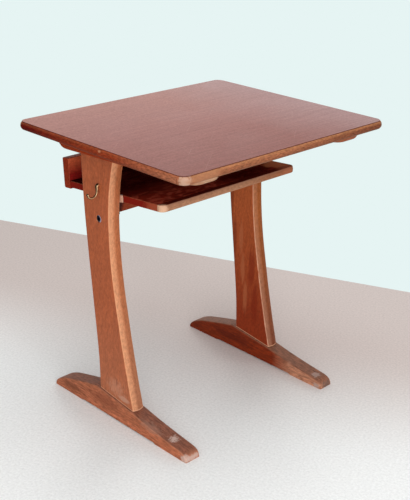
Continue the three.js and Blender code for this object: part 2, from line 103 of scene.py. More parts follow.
def linearColour(code):
    # sRGB hex to the linear values that a socket takes
    parts = [int(code[i:i + 2], 16) / 255 for i in (1, 3, 5)]
    return [*((c / 12.92 if c <= 0.04045 else ((c + 0.055) / 1.055) ** 2.4) for c in parts), 1]


def addNode(tree, kind, links=None, **settings):
    # sockets by name or number, each with a value or a link. Map Range turns 0, read from 1 to 2, into 3 to 4.
    # A colour Mix has its factor in 0 and its colours in 6 and 7
    made = tree.nodes.new("ShaderNode" + kind)
    for key, value in settings.items():
        setattr(made, key, value)
    for socket, value in (links or {}).items():
        if isinstance(value, bpy.types.NodeSocket):
            tree.links.new(value, made.inputs[socket])
        else:
            made.inputs[socket].default_value = value
    return made


noiseLow, noiseHigh = 0.3, 0.7   # nearly all of a noise texture's values lie between these


def patternScale(*sizes):
    # sizes of a pattern in mm to the scale that a Mapping node takes
    return [1 / (size * mm) for size in sizes]


def newMaterial(name):
    material = bpy.data.materials.new(name)
    material.use_nodes = True
    tree = material.node_tree
    return material, tree, tree.nodes["Principled BSDF"], addNode(tree, "TexCoord").outputs["Object"]


# camera at the photograph's viewpoint
view = {
    "place": (-1.5759, -1.5783, 1.3156),   # metres
    "azimuth": -45.204, "elevation": 22.701, "roll": 1.3262,   # degrees
    "lens": 70.971, "sensor": 36,   # mm, the sensor's width lies on the picture's long side
}
az, el = math.radians(view["azimuth"]), math.radians(view["elevation"])
back = Vector((math.sin(az) * math.cos(el), -math.cos(az) * math.cos(el), math.sin(el)))
bpy.ops.object.camera_add(location=view["place"])
camera = bpy.context.object
camera.rotation_mode = "QUATERNION"
camera.rotation_quaternion = back.to_track_quat("Z", "Y") @ Quaternion((0, 0, 1), math.radians(view["roll"]))
camera.data.lens = view["lens"]
camera.data.sensor_width = view["sensor"]
bpy.context.scene.camera = camera
bpy.context.scene.view_settings.view_transform = "Standard"
print("camera placed")


# pale floor, pale background and soft light
room = {
    "floorFar": "#D0C4BF", "floorNear": "#EFF1F0", "wallColour": "#E6F4F3",
    "farEdge": ((0.3939, 1.1150), (0.8058, 0.1657)),   # metres, two points where the floor ends against the background
    "floorSize": 7.0, "nearer": (3.1, 2.5),   # metres, the floor turns paler between these on its way to the front: painted light falling off with distance
    "speckle": 5.882, "speckleDepth": 0.1,   # mm, and a share of the colour
    "roughness": 0.9, "specular": 0.2,
    "ambient": 0.46,
}
(x0, y0), (x1, y1) = room["farEdge"]
heading = math.atan2(y1 - y0, x1 - x0)
inward = Vector((math.sin(heading), -math.cos(heading), 0))
edgeMiddle = Vector(((x0 + x1) / 2, (y0 + y1) / 2, 0))
clearSelection()
bpy.ops.mesh.primitive_plane_add(
    size=room["floorSize"], location=edgeMiddle + inward * room["floorSize"] / 2, rotation=(0, 0, heading))
floor = bpy.context.object
floor.name = "floor"
floorPaint, tree, shader, place = newMaterial("paleFloor")   # matt pale paint, faintly mottled
mottle = addNode(tree, "TexNoise", {
    "Vector": place, "Scale": 1 / (room["speckle"] * mm), "Detail": 4, "Roughness": 0.6}).outputs[0]
level = addNode(tree, "MapRange", {
    0: mottle, 1: noiseLow, 2: noiseHigh, 3: 1 - room["speckleDepth"], 4: 1 + room["speckleDepth"]}).outputs[0]
away = addNode(tree, "SeparateXYZ", {0: place}).outputs[1]   # metres along the floor towards its far edge
# paler towards the front: painted light on an evenly coloured floor
nearer = addNode(tree, "MapRange", {0: away, 1: room["nearer"][0], 2: room["nearer"][1]},
                 interpolation_type="SMOOTHSTEP").outputs[0]
tint = addNode(tree, "Mix", {0: nearer, 6: linearColour(room["floorFar"]), 7: linearColour(room["floorNear"])},
               data_type="RGBA").outputs[2]
tint = addNode(tree, "VectorMath", {0: tint, 3: level}, operation="SCALE").outputs[0]
tree.links.new(tint, shader.inputs["Base Color"])
shader.inputs["Roughness"].default_value = room["roughness"]
shader.inputs["Specular IOR Level"].default_value = room["specular"]
floor.data.materials.append(floorPaint)

world = bpy.data.worlds.new("room")
bpy.context.scene.world = world
world.use_nodes = True
tree = world.node_tree
tree.nodes.clear()
rays = addNode(tree, "LightPath").outputs
seen = addNode(tree, "Math", {0: rays["Is Camera Ray"], 1: rays["Is Glossy Ray"]}, operation="MAXIMUM").outputs[0]
seen = addNode(tree, "Math", {0: seen, 1: rays["Is Transmission Ray"]}, operation="MAXIMUM").outputs[0]
soft = addNode(tree, "Background", {0: linearColour("#FFFFFF"), 1: room["ambient"]}).outputs[0]
wall = addNode(tree, "Background", {0: linearColour(room["wallColour"]), 1: 1.0}).outputs[0]
both = addNode(tree, "MixShader", {0: seen, 1: soft, 2: wall}).outputs[0]
addNode(tree, "OutputWorld", {0: both})

lamps = {   # metres and watts, all facing the middle of the desk
    "window": {"place": (-1.95, -2.9, 1.55), "size": 3.0, "power": 100},
    "ceiling": {"place": (0.1, -0.2, 2.9), "size": 1.8, "power": 24},
    "rearFill": {"place": (2.4, 2.0, 1.7), "size": 1.6, "power": 26},
}
deskMiddle = Vector((0, 0, 0.4))
for name, lamp in lamps.items():
    bpy.ops.object.light_add(type="AREA", location=lamp["place"])
    light = bpy.context.object
    light.name = name
    light.data.size = lamp["size"]
    light.data.energy = lamp["power"]
    light.rotation_mode = "QUATERNION"
    light.rotation_quaternion = (Vector(lamp["place"]) - deskMiddle).to_track_quat("Z", "Y")
print("room and lamps placed")


def arrisMask(tree, start=0.02, full=0.2):
    # 0 on faces square to the desk, 1 where a rounded edge turns between two of them
    normal = addNode(tree, "NewGeometry").outputs["Normal"]
    sizes = addNode(tree, "VectorMath", {0: normal}, operation="ABSOLUTE").outputs[0]
    parts = addNode(tree, "SeparateXYZ", {0: sizes}).outputs
    most = addNode(tree, "Math", {0: parts[0], 1: parts[1]}, operation="MAXIMUM").outputs[0]
    most = addNode(tree, "Math", {0: most, 1: parts[2]}, operation="MAXIMUM").outputs[0]
    return addNode(tree, "MapRange", {0: most, 1: 1 - start, 2: 1 - full}, interpolation_type="SMOOTHSTEP").outputs[0]


def markMask(tree, place, mark, core=0.45):
    # an uneven spot: middle and half-sizes in mm, ragged by a noise of the given grain in mm. It is at full
    # strength inside the core, a share of its size, and fades over the share called soft
    away = addNode(tree, "VectorMath", {0: place, 1: Vector(mark["at"]) * mm}, operation="SUBTRACT").outputs[0]
    away = addNode(tree, "VectorMath", {0: away, 1: Vector(mark["size"]) * mm}, operation="DIVIDE").outputs[0]
    away = addNode(tree, "VectorMath", {0: away}, operation="LENGTH").outputs["Value"]
    cells = addNode(tree, "Mapping", {0: place, "Scale": patternScale(*mark["grain"])}).outputs[0]
    ragged = addNode(tree, "TexNoise", {"Vector": cells, "Scale": 1, "Detail": 3}).outputs[0]
    edge = addNode(tree, "Math", {0: ragged, 1: mark["ragged"], 2: away}, operation="MULTIPLY_ADD").outputs[0]
    full = core + 0.5 * mark["ragged"]   # the noise is 0.5 on average
    return addNode(tree, "MapRange", {0: edge, 1: full + mark.get("soft", 0.55), 2: full, 3: 0, 4: mark["strength"]},
                   interpolation_type="SMOOTHSTEP").outputs[0]


def layMarks(tree, place, colour, marks):
    for mark in marks:
        mask = markMask(tree, place, mark)
        colour = addNode(tree, "Mix", {0: mask, 6: colour, 7: linearColour(mark["colour"])},
                         data_type="RGBA").outputs[2]
    return colour


plainBeech = {
    "grain": "Y", "lean": 0,   # degrees, for a piece whose grain isn't square to the desk
    "side": "#9A5536", "wornAndLit": "#D59A70",   # "front" and "top" are added where such faces have another tone
    "band": (26, 320), "streak": (4.5, 70), "cloud": (5, 9), "patch": (9, 40),   # mm, across and along the grain
    "fleck": (1.6, 12),   # mm, real flecks are under 0.5 mm wide and are drawn coarser so that they show
    "bands": 0.06, "figure": 0.09, "mottle": 0.19, "flecks": 0.26, "rub": 0.6,   # strengths
    "roughness": 0.45, "varnish": 0.09,
    "lowToneHeights": (420, 80), "drift": (), "marks": (),   # mm
}


def stainedBeech(name, look):
    # European beech, planed and sanded, under a red-brown stain and an old satin varnish: fine mottle and short
    # flecks along the grain, arrises rubbed down to paler wood, front and top faces in tones of their own that
    # are painted light and shade on some pieces, dirt and painted shadow in patches
    material, tree, shader, place = newMaterial(name)
    turned = addNode(tree, "Mapping", {0: place, "Rotation": (math.radians(look["lean"]), 0, 0)}).outputs[0]

    def grain(size, detail, roughness=0.5):
        across, along = size
        scale = patternScale(*(along if axis == look["grain"] else across for axis in "XYZ"))
        cells = addNode(tree, "Mapping", {0: turned, "Scale": scale}).outputs[0]
        noise = addNode(tree, "TexNoise", {"Vector": cells, "Scale": 1, "Detail": detail, "Roughness": roughness})
        return noise.outputs[0]

    normal = addNode(tree, "SeparateXYZ", {0: addNode(tree, "NewGeometry").outputs["Normal"]}).outputs
    stain = linearColour(look["side"])[:3]
    darker, lighter = ([c * (1 + sign * look["bands"]) for c in stain] + [1] for sign in (-1, 1))
    bands = addNode(tree, "MapRange", {0: grain(look["band"], 3), 1: 0.36, 2: 0.64}).outputs[0]
    colour = addNode(tree, "Mix", {0: bands, 6: darker, 7: lighter}, data_type="RGBA").outputs[2]
    ways = addNode(tree, "SeparateXYZ", {0: place}).outputs
    for drift in look["drift"]:   # slow change of stain along the piece
        along = addNode(tree, "MapRange", {
            0: ways["XYZ".index(drift["axis"])], 1: drift["from"] * mm, 2: drift["to"] * mm,
            3: 0, 4: drift.get("most", 1)}).outputs[0]
        colour = addNode(tree, "Mix", {0: along, 6: colour, 7: linearColour(drift["colour"])},
                         data_type="RGBA").outputs[2]
    for key, axis, sign in (("front", 1, -1), ("top", 2, 1)):   # front or top faces in their own tones: painted light and shade on legs and panel
        if key in look:
            facingTone = linearColour(look[key])
            if key + "Low" in look:
                high, low = look["lowToneHeights"]
                height = addNode(tree, "MapRange", {0: ways[2], 1: high * mm, 2: low * mm}).outputs[0]
                facingTone = addNode(tree, "Mix", {0: height, 6: facingTone, 7: linearColour(look[key + "Low"])},
                                data_type="RGBA").outputs[2]
            turn = addNode(tree, "MapRange", {0: normal[axis], 1: 0.5 * sign, 2: 0.92 * sign},
                           interpolation_type="SMOOTHSTEP").outputs[0]
            colour = addNode(tree, "Mix", {0: turn, 6: colour, 7: facingTone}, data_type="RGBA").outputs[2]
    if "crownHighlight" in look:   # painted highlight: the crowned front face is palest on the side that turns towards the light
        turn = addNode(tree, "MapRange", {0: normal[0], 1: 0.02, 2: -0.3, 3: 0, 4: look["crownHighlight"]}).outputs[0]
        ahead = addNode(tree, "MapRange", {0: normal[1], 1: -0.5, 2: -0.9}).outputs[0]
        turn = addNode(tree, "Math", {0: turn, 1: ahead}, operation="MULTIPLY").outputs[0]
        colour = addNode(tree, "Mix", {0: turn, 6: colour, 7: linearColour(look["wornAndLit"])},
                         data_type="RGBA").outputs[2]
    streaks = grain(look["streak"], 4, 0.6)
    mottle = grain(look["cloud"], 3, 0.65)   # cloudy take-up of the stain
    flecks = grain(look["fleck"], 2, 0.7)
    for pattern, strength in ((streaks, look["figure"]), (mottle, look["mottle"])):
        factor = addNode(tree, "MapRange", {
            0: pattern, 1: noiseLow, 2: noiseHigh, 3: 1 - strength, 4: 1 + strength}).outputs[0]
        colour = addNode(tree, "VectorMath", {0: colour, 3: factor}, operation="SCALE").outputs[0]
    dashes = addNode(tree, "MapRange", {0: flecks, 1: 0.55, 2: 0.68, 3: 1, 4: 1 - look["flecks"]}).outputs[0]
    colour = addNode(tree, "VectorMath", {0: colour, 3: dashes}, operation="SCALE").outputs[0]
    patchy = grain(look["patch"], 4)
    patchy = addNode(tree, "MapRange", {0: patchy, 1: 0.3, 2: 0.62, 3: 0.15, 4: look["rub"]}).outputs[0]
    rubbedAndLit = addNode(tree, "Math", {0: arrisMask(tree), 1: patchy}, operation="MULTIPLY").outputs[0]
    colour = addNode(tree, "Mix", {0: rubbedAndLit, 6: colour, 7: linearColour(look["wornAndLit"])}, data_type="RGBA").outputs[2]
    colour = layMarks(tree, place, colour, look["marks"])
    if "seatHighlight" in look:   # a pale line where the piece meets its seat: a painted highlight, as a small chamfer there would catch, with some old glue
        seatHighlight = look["seatHighlight"]
        width, slope = seatHighlight["width"] * mm, math.radians(seatHighlight["slope"])
        above = addNode(tree, "VectorMath", {0: place, 1: Vector(seatHighlight["seat"]) * mm}, operation="SUBTRACT").outputs[0]
        above = addNode(tree, "VectorMath", {0: above, 1: (0, -math.sin(slope), math.cos(slope))},
                        operation="DOT_PRODUCT").outputs["Value"]
        line = addNode(tree, "MapRange", {0: above, 1: width, 2: 0.7 * width, 3: 0, 4: seatHighlight["strength"]}).outputs[0]
        colour = addNode(tree, "Mix", {0: line, 6: colour, 7: linearColour(seatHighlight["colour"])},
                         data_type="RGBA").outputs[2]
    tree.links.new(colour, shader.inputs["Base Color"])
    sheen = addNode(tree, "MapRange", {
        0: streaks, 1: noiseLow, 2: noiseHigh, 3: look["roughness"] - 0.07, 4: look["roughness"] + 0.07}).outputs[0]
    tree.links.new(sheen, shader.inputs["Roughness"])
    relief = addNode(tree, "Bump", {"Strength": 0.25, "Distance": 0.25 * mm, "Height": flecks}).outputs[0]
    relief = addNode(tree, "Bump", {"Strength": 0.3, "Distance": 0.4 * mm, "Height": streaks, "Normal": relief})
    tree.links.new(relief.outputs[0], shader.inputs["Normal"])
    shader.inputs["IOR"].default_value = 1.5
    shader.inputs["Specular IOR Level"].default_value = look["varnish"]
    return material


print("material functions ready")


def smoothedCopy(nodeName, pieceName, angle=32):
    # keeps a CAD solid's shape, merged and smoothed so that its curves shade as curves
    piece = ownCopy(nodes[nodeName].data, pieceName)
    bpy.ops.object.mode_set(mode="EDIT")
    bpy.ops.mesh.select_all(action="SELECT")
    bpy.ops.mesh.remove_doubles(threshold=0.01 * mm)
    bpy.ops.mesh.dissolve_limited(angle_limit=math.radians(0.4))
    bpy.ops.object.mode_set(mode="OBJECT")
    smoothEdges(angle)
    applyModifier(piece, "WEIGHTED_NORMAL", keep_sharp=True, weight=90)   # flat faces stay flat beside rounded arrises
    return piece


worktop = {   # sizes and places in mm
    # the right tone is a painted sheen
    "rear": "#AC827A", "middle": "#9D716B", "front": "#8C5F59", "right": "#A58785", "edge": "#4A0C06",
    "dust": "#C4A49C",
    "frontToMiddle": (-160, 120), "middleToRear": (100, 380), "sheenToRight": (60, 300), "sheenMost": 0.75, "wander": 200,
    "cloud": 142.9, "speck": 3.846, "line": (142.9, 4.167, 1000),
    "ringBend": (625, 142.9, 1000), "ring": 15.385, "ringWander": 14,   # rings 15 mm apart close into pointed figures
    "scratches": ((24, 2.02), (-38, 2.469), (81, 2.924)), "scratchLength": 166.7,   # degrees and mm between scratches
    "figure": 0.02, "grain": 0.08, "specks": 0.13, "scratched": 0.16,   # strengths
}


def mattLaminate(name, look):
    # matt decorative laminate, worn dull by books and sleeves: clouded, with a faint printed beech figure and
    # hair scratches, no gloss left but a painted sheen that greys it towards the right
    material, tree, shader, place = newMaterial(name)
    ways = addNode(tree, "SeparateXYZ", {0: place}).outputs
    clouds = addNode(tree, "TexNoise", {
        "Vector": place, "Scale": 1 / (look["cloud"] * mm), "Detail": 5, "Roughness": 0.6}).outputs[0]
    shifted = addNode(tree, "Math", {0: clouds, 1: look["wander"] * mm, 2: ways[1]},
                      operation="MULTIPLY_ADD").outputs[0]
    # darker towards the front, and greyed towards the right by a painted sheen
    masks = [addNode(tree, "MapRange", {0: way, 1: look[span][0] * mm, 2: look[span][1] * mm, 4: most}).outputs[0]
             for way, span, most in ((shifted, "frontToMiddle", 1), (shifted, "middleToRear", 1),
                                     (ways[0], "sheenToRight", look["sheenMost"]))]
    colour = linearColour(look["front"])
    for mask, tone in zip(masks, ("middle", "rear", "right")):
        colour = addNode(tree, "Mix", {0: mask, 6: colour, 7: linearColour(look[tone])}, data_type="RGBA").outputs[2]
    cells = addNode(tree, "Mapping", {0: place, "Scale": patternScale(*look["ringBend"])}).outputs[0]
    bend = addNode(tree, "TexNoise", {"Vector": cells, "Scale": 1, "Detail": 1}).outputs[0]
    across = addNode(tree, "Math", {0: ways[1], 1: 1 / (look["ring"] * mm)}, operation="MULTIPLY").outputs[0]
    growth = addNode(tree, "Math", {0: bend, 1: look["ringWander"], 2: across}, operation="MULTIPLY_ADD").outputs[0]
    growth = addNode(tree, "Math", {0: growth, 1: math.tau}, operation="MULTIPLY").outputs[0]
    rings = addNode(tree, "Math", {0: growth}, operation="SINE").outputs[0]
    cells = addNode(tree, "Mapping", {0: place, "Scale": patternScale(*look["line"])}).outputs[0]
    lines = addNode(tree, "TexNoise", {"Vector": cells, "Scale": 1, "Detail": 3, "Roughness": 0.6}).outputs[0]
    specks = addNode(tree, "TexNoise", {"Vector": place, "Scale": 1 / (look["speck"] * mm), "Detail": 3}).outputs[0]
    for pattern, low, high, strength in (
            (rings, -1, 1, look["figure"]), (lines, noiseLow, noiseHigh, look["grain"]),
            (specks, noiseLow, noiseHigh, look["specks"])):
        factor = addNode(tree, "MapRange", {0: pattern, 1: low, 2: high, 3: 1 - strength, 4: 1 + strength}).outputs[0]
        colour = addNode(tree, "VectorMath", {0: colour, 3: factor}, operation="SCALE").outputs[0]
    scratches = None
    for turn, spacing in look["scratches"]:
        cells = addNode(tree, "Mapping", {0: place, "Rotation": (0, 0, math.radians(turn))}).outputs[0]
        sizes = patternScale(look["scratchLength"], spacing, 1000)
        cells = addNode(tree, "Mapping", {0: cells, "Scale": sizes}).outputs[0]
        hair = addNode(tree, "TexNoise", {"Vector": cells, "Scale": 1, "Detail": 1, "Distortion": 0.4}).outputs[0]
        hair = addNode(tree, "MapRange", {0: hair, 1: 0.715, 2: 0.77}).outputs[0]   # only the noise's crests
        if scratches is not None:
            hair = addNode(tree, "Math", {0: scratches, 1: hair}, operation="MAXIMUM").outputs[0]
        scratches = hair
    faint = addNode(tree, "Math", {0: scratches, 1: look["scratched"]}, operation="MULTIPLY").outputs[0]
    colour = addNode(tree, "Mix", {0: faint, 6: colour, 7: linearColour(look["dust"])}, data_type="RGBA").outputs[2]
    side = addNode(tree, "SeparateXYZ", {0: addNode(tree, "NewGeometry").outputs["Normal"]}).outputs[2]
    side = addNode(tree, "MapRange", {0: side, 1: 0.9, 2: 0.5}).outputs[0]   # the cut edge of the sheet is dark
    colour = addNode(tree, "Mix", {0: side, 6: colour, 7: linearColour(look["edge"])}, data_type="RGBA").outputs[2]
    tree.links.new(colour, shader.inputs["Base Color"])
    dull = addNode(tree, "MapRange", {0: clouds, 1: noiseLow, 2: noiseHigh, 3: 0.55, 4: 0.7}).outputs[0]
    tree.links.new(dull, shader.inputs["Roughness"])
    relief = addNode(tree, "Bump", {"Strength": 0.15, "Distance": 0.1 * mm, "Height": specks}).outputs[0]
    relief = addNode(tree, "Bump", {"Strength": 0.3, "Distance": -0.1 * mm, "Height": scratches, "Normal": relief})
    tree.links.new(relief.outputs[0], shader.inputs["Normal"])
    shader.inputs["IOR"].default_value = 1.5
    shader.inputs["Specular IOR Level"].default_value = 0.03
    return material


sheet = smoothedCopy("top_surface", "worktopSheet")
finishPiece(sheet, "worn_surface_sheet", mattLaminate("mattLaminate", worktop), "top_surface")

litUpperLip = {"axis": "Z", "from": 702, "to": 708.5, "colour": "#A8714B", "most": 0.6}   # painted highlight on the upper half of the rounded edge
lowShade = {"axis": "Z", "from": 699, "to": 691, "colour": "#5A2A1A", "most": 0.55}   # painted shade on the lower half of the rounded edge
edging = {
    "front": {
        **plainBeech, "grain": "X", "side": "#925A3E", "wornAndLit": "#AC7652", "rub": 0.3, "cloud": (2.8, 8), "mottle": 0.46,
        "varnish": 0.05,
        "drift": [{"axis": "X", "from": 0, "to": 250, "colour": "#74412A"}, litUpperLip, lowShade],
        "marks": [
            {"at": (-318, -270, 699), "size": (19, 16, 16), "grain": (5, 5, 5), "ragged": 1.1, "strength": 0.85,
             "colour": "#B7937F"},
            {"at": (-270, -276, 699), "size": (60, 12, 14), "grain": (30, 6, 6), "ragged": 0.9, "strength": 0.6,
             "colour": "#A87454"},
        ],
    },
    "left": {
        **plainBeech, "side": "#84331A", "wornAndLit": "#945236", "rub": 0.25, "cloud": (2.8, 9), "mottle": 0.5,
        "varnish": 0.02,
        "drift": [
            {"axis": "Y", "from": -60, "to": -255, "colour": "#A4664A"},
            {"axis": "Y", "from": 40, "to": 230, "colour": "#5A0A05"},
            {**litUpperLip, "colour": "#9A5434", "most": 0.35}, {**lowShade, "colour": "#3E120A"},
        ],
        "marks": [
            {"at": (-330, -21, 704.7), "size": (5, 6, 4), "grain": (3, 3, 3), "ragged": 0.5, "strength": 0.6,
             "colour": "#C08A68"},
            {"at": (-327, -263.5, 701), "size": (10, 1.2, 9), "grain": (4, 4, 4), "ragged": 0.2, "strength": 0.7,
             "colour": "#DDB89C"},
            {"at": (-330, -258, 699), "size": (8, 1.6, 12), "grain": (4, 4, 4), "ragged": 0.2, "strength": 0.6,
             "colour": "#5A2A1C"},
        ],
    },
    "rear": {**plainBeech, "grain": "X", "side": "#8A5239"},
    "right": {**plainBeech, "side": "#86492F"},
}
for side, look in edging.items():
    lipping = smoothedCopy(f"top_lipping_{side}", f"worktopEdging_{side}", angle=40)
    finishPiece(lipping, "light_beech_edging", stainedBeech(f"beechEdging_{side}", look), f"top_lipping_{side}")
underside = {**plainBeech, "grain": "X", "side": "#7E4229", "bands": 0.12}
nodes["top_core"].material_slots[0].material = stainedBeech("beechUnderside", underside)
print("worktop dressed")


legWood = {
    **plainBeech, "grain": "Z", "lean": -5.5,
    # the pale line along the leg's foot is mostly a painted highlight
    "seatHighlight": {"seat": (0, -43.6, 47.4), "slope": 7.8, "width": 2.6, "strength": 0.75, "colour": "#D49C7C"},
}
cloudyStain = (   # on the right leg's inner face: middles (y, z) and half-sizes in mm, strength, colour
    (((112, 420), (98, 330)), (8, 10, 80), 0.5, "#64200E"),   # dark along the rear edge
    (((74, 330), (64, 245), (52, 165)), (8, 10, 60), 0.5, "#AE6440"),   # paler between
    (((32, 255), (16, 160)), (8, 15, 70), 0.6, "#74200C"),   # dark low in front
)
# the legs' front and frontLow tones are painted light and shade
legLooks = {
    "left": {
        **legWood, "side": "#A65633", "front": "#B06741", "frontLow": "#A4694B", "wornAndLit": "#D6966F", "rub": 0.9,
        "crownHighlight": 0.9,
        "drift": [{"axis": "Z", "from": 300, "to": 60, "colour": "#AE6848", "most": 0.8}],
        "marks": [
            {"at": (-258, -7, 67), "size": (8, 26, 9), "grain": (5, 8, 5), "ragged": 0.9, "strength": 0.55,
             "colour": "#C59A84"},
            {"at": (-258, 22, 88), "size": (8, 34, 26), "grain": (3, 2.5, 14), "ragged": 2.8, "strength": 0.3,
             "colour": "#CE9A80"},
            {"at": (-258, 18.5, 104), "size": (8, 4, 15), "grain": (4, 4, 16), "ragged": 0.8, "strength": 0.45,
             "colour": "#6E2E1C"},
        ],
    },
    "right": {
        **legWood, "side": "#AE592F", "front": "#9A5428", "frontLow": "#78402A", "wornAndLit": "#D2A084", "rub": 0.95,
        "crownHighlight": 0.25, "varnish": 0.05,
        "drift": [{"axis": "Z", "from": 480, "to": 120, "colour": "#7E2812", "most": 0.85}],
        "marks": [
            {"at": (224, y, z), "size": size, "grain": (7, 7, 40), "ragged": 1, "strength": strength, "colour": colour}
            for middles, size, strength, colour in cloudyStain for y, z in middles],
    },
}
footWood = {**plainBeech, "roughness": 0.55, "cloud": (3.5, 18), "mottle": 0.42, "figure": 0.22, "bands": 0.14}
footLooks = {
    "left": {
        **footWood, "side": "#A86244", "top": "#83503D", "wornAndLit": "#A8735A", "rub": 0.5,
        "marks": [
            {"at": (-241.5, -167, 27), "size": (15, 13, 9), "grain": (9, 2, 4), "ragged": 2.4, "strength": 0.75,
             "colour": "#CDB4A8"},
            {"at": (-262, -110, 38), "size": (22, 46, 18), "grain": (5, 9, 4), "ragged": 1.5, "strength": 0.3,
             "colour": "#B08875"},
            {"at": (-262, -222, 8), "size": (16, 14, 12), "grain": (6, 6, 6), "ragged": 1.0, "strength": 0.7,
             "colour": "#CBB2A6"},
            {"at": (-240, -231, 8), "size": (26, 8, 12), "grain": (7, 7, 7), "ragged": 1.0, "strength": 0.7,
             "colour": "#C6ADA2"},
            {"at": (-264, 190, 22), "size": (14, 60, 12), "grain": (8, 22, 8), "ragged": 1.4, "strength": 0.6,
             "colour": "#6A3A26"},
            {"at": (-264, 60, 40), "size": (8, 70, 20), "grain": (6, 14, 5), "ragged": 2, "strength": 0.5,
             "colour": "#80422C"},
        ],
    },
    "right": {
        **footWood, "side": "#74290F", "top": "#80533F", "wornAndLit": "#8A5A46", "rub": 0.4,
        "drift": [{"axis": "Y", "from": -60, "to": -135, "colour": "#B47C60"}],
        "marks": [
            {"at": (238, -197, 24), "size": (14, 14, 9), "grain": (8, 4, 5), "ragged": 1.8, "strength": 0.55,
             "colour": "#AC968E"},
            {"at": (219, -120, 29), "size": (10, 8, 9), "grain": (5, 5, 8), "ragged": 0.8, "strength": 0.45,
             "colour": "#B4836A"},
            {"at": (222, -214.5, 6), "size": (14, 14, 9), "grain": (7, 7, 7), "ragged": 1.4, "strength": 0.6,
             "colour": "#B4A29A"},
            {"at": (244, -240, 10), "size": (40, 26, 34), "grain": (5, 5, 5), "ragged": 0.5, "strength": 0.85,
             "soft": 0.3, "colour": "#644E46"},
            {"at": (218.8, 90, 32), "size": (8, 90, 16), "grain": (6, 16, 5), "ragged": 2, "strength": 0.5,
             "colour": "#4C140A"},
        ],
    },
}
bearerWood = {**plainBeech, "side": "#953614", "wornAndLit": "#9A5C40", "varnish": 0.03}
bearerLooks = {   # noses paler than the sides, most at the left
    "left": {**bearerWood, "drift": [{"axis": "Y", "from": -205, "to": -245, "colour": "#C8A788", "most": 0.85}]},
    "right": {**bearerWood, "drift": [{"axis": "Y", "from": -205, "to": -245, "colour": "#96583C", "most": 0.85}]},
}
for side in ("left", "right"):
    for node, name, material, look in (
            (f"leg_{side}", f"sweptLeg_{side}", f"beechLeg_{side}", legLooks[side]),
            (f"foot_{side}", f"longFoot_{side}", f"beechFoot_{side}", footLooks[side]),
            (f"bearer_{side}", f"topBearer_{side}", f"beechBearer_{side}", bearerLooks[side])):
        finishPiece(smoothedCopy(node, name), "stained_beech", stainedBeech(material, look), node)
print("trestles dressed")


shelf = {
    "board": {
        # far is the board darkened by painted shade deep under the worktop
        "far": "#380807", "near": "#7C281A", "smear": "#C4604A", "edge": "#7A1E15", "arris": "#B46A4A",
        "shadeToFront": (70, -30), "smearsToFront": (30, -30),   # mm, the change lies between these
        "streak": (125, 11.11, 11.11), "smearSize": (26.32, 16.13, 26.32), "smearTurn": -20,   # mm and degrees
        "marks": [
            # painted reflections: the shaded right trestle mirrored dark, the bright room beyond mirrored pale at the
            # right end
            {"at": (92, -48, 570), "size": (125, 66, 60), "grain": (30, 20, 30), "ragged": 0.6, "strength": 0.8,
             "colour": "#380807"},
            {"at": (216, -56, 569), "size": (92, 74, 60), "grain": (26, 20, 30), "ragged": 0.35, "strength": 0.9,
             "soft": 0.2, "colour": "#B06E4A"},
        ],
        "edgeMarks": [
            {"at": (-220.5, -84, 568), "size": (30, 40, 44), "grain": (6, 8, 3), "ragged": 1, "strength": 0.6,
             "soft": 0.9, "colour": "#A8583C"},
        ],
    },
    "edging": {
        **plainBeech, "grain": "X", "side": "#A37559", "top": "#5A1E14", "wornAndLit": "#B98A70", "rub": 0.4, "varnish": 0,
        "drift": [{"axis": "X", "from": 20, "to": 230, "colour": "#8C5234"}],
        "marks": [
            {"at": (226, -100, 571), "size": (84, 50, 18), "grain": (26, 20, 30), "ragged": 0.35, "strength": 0.8,
             "colour": "#A4664A"},
            {"at": (-219, -100, 569), "size": (14, 18, 40), "grain": (5, 5, 9), "ragged": 0.7, "strength": 0.8,
             "soft": 0.8, "colour": "#DDB294"},
        ],
    },
    "panel": {
        # the front face is painted light high up and painted shade low down, under the worktop
        **plainBeech, "grain": "X", "side": "#862B11", "front": "#D66440", "frontLow": "#901E1A", "lowToneHeights": (600, 566),
        "wornAndLit": "#A8603F", "rub": 0.6, "mottle": 0.28, "varnish": 0.03,
    },
    "rail": {
        **plainBeech, "grain": "X", "side": "#8E3A1E", "wornAndLit": "#9C5A40", "rub": 0.4,
        "marks": [   # painted shadow cast by the legs on the rail's ends
            {"at": (x, 100, 522), "size": (22, 12, 40), "grain": (10, 10, 10), "ragged": 0.4, "strength": 0.85,
             "colour": "#2A0A0C"} for x in (-178, 178)],
    },
    "strip": {**plainBeech, "side": "#D2A890", "rub": 0.2},
}
# the corner blocks are coloured nearly black: painted shade, as they sit in the legs' shadow
shelf["block"] = {**shelf["rail"], "grain": "Z", "side": "#2E0A08"}


